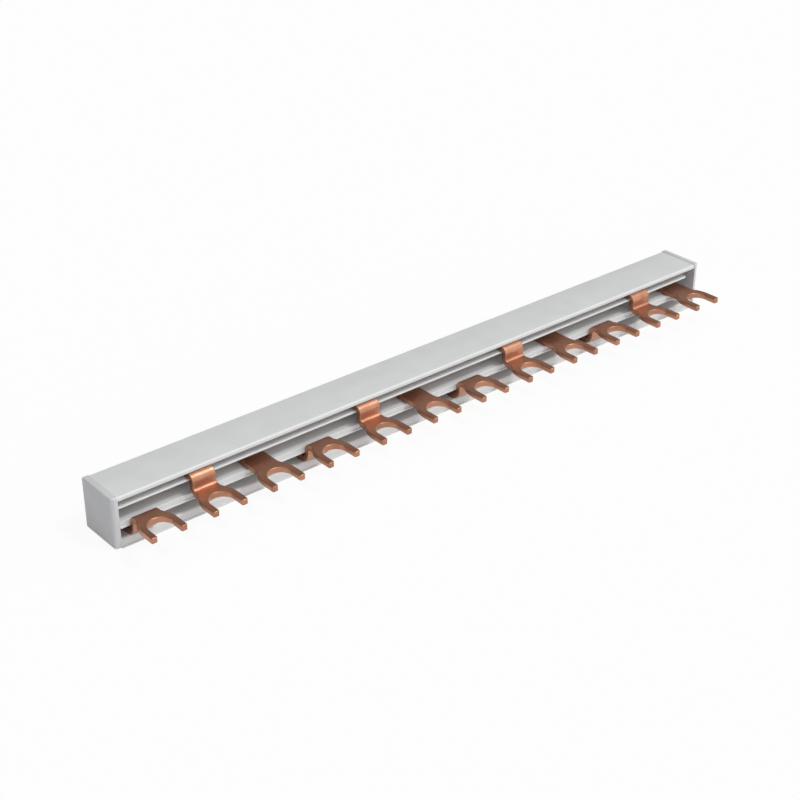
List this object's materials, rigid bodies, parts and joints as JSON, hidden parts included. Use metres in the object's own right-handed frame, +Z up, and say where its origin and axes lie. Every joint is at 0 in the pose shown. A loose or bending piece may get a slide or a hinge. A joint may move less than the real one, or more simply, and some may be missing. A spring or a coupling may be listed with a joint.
{
  "type": "comb busbar",
  "caption": "Three-phase fork busbar: three insulated copper combs in a grey cover whose open-ended forks feed a row of circuit breakers.",
  "frame": {"origin": "centre of the cover's flat underside", "axes": "+X along the busbar towards the end with the wider margin, forks point towards -Y, +Z up through the stacked combs"},
  "size_m": [0.214, 0.0272, 0.0147],
  "materials": {
    "cover": "smooth extruded plastic, light grey",
    "strip": "smooth extruded plastic, light grey",
    "cap": "fine matt moulded plastic, light grey",
    "copper": null
  },
  "bodies": {
    "root": {"cover": "cover", "strip_upper": "strip", "strip_lower": "strip", "comb_top": "copper", "comb_middle": "copper", "comb_bottom": "copper", "cap_left": "cap", "cap_right": "cap"}
  },
  "joints": []
}
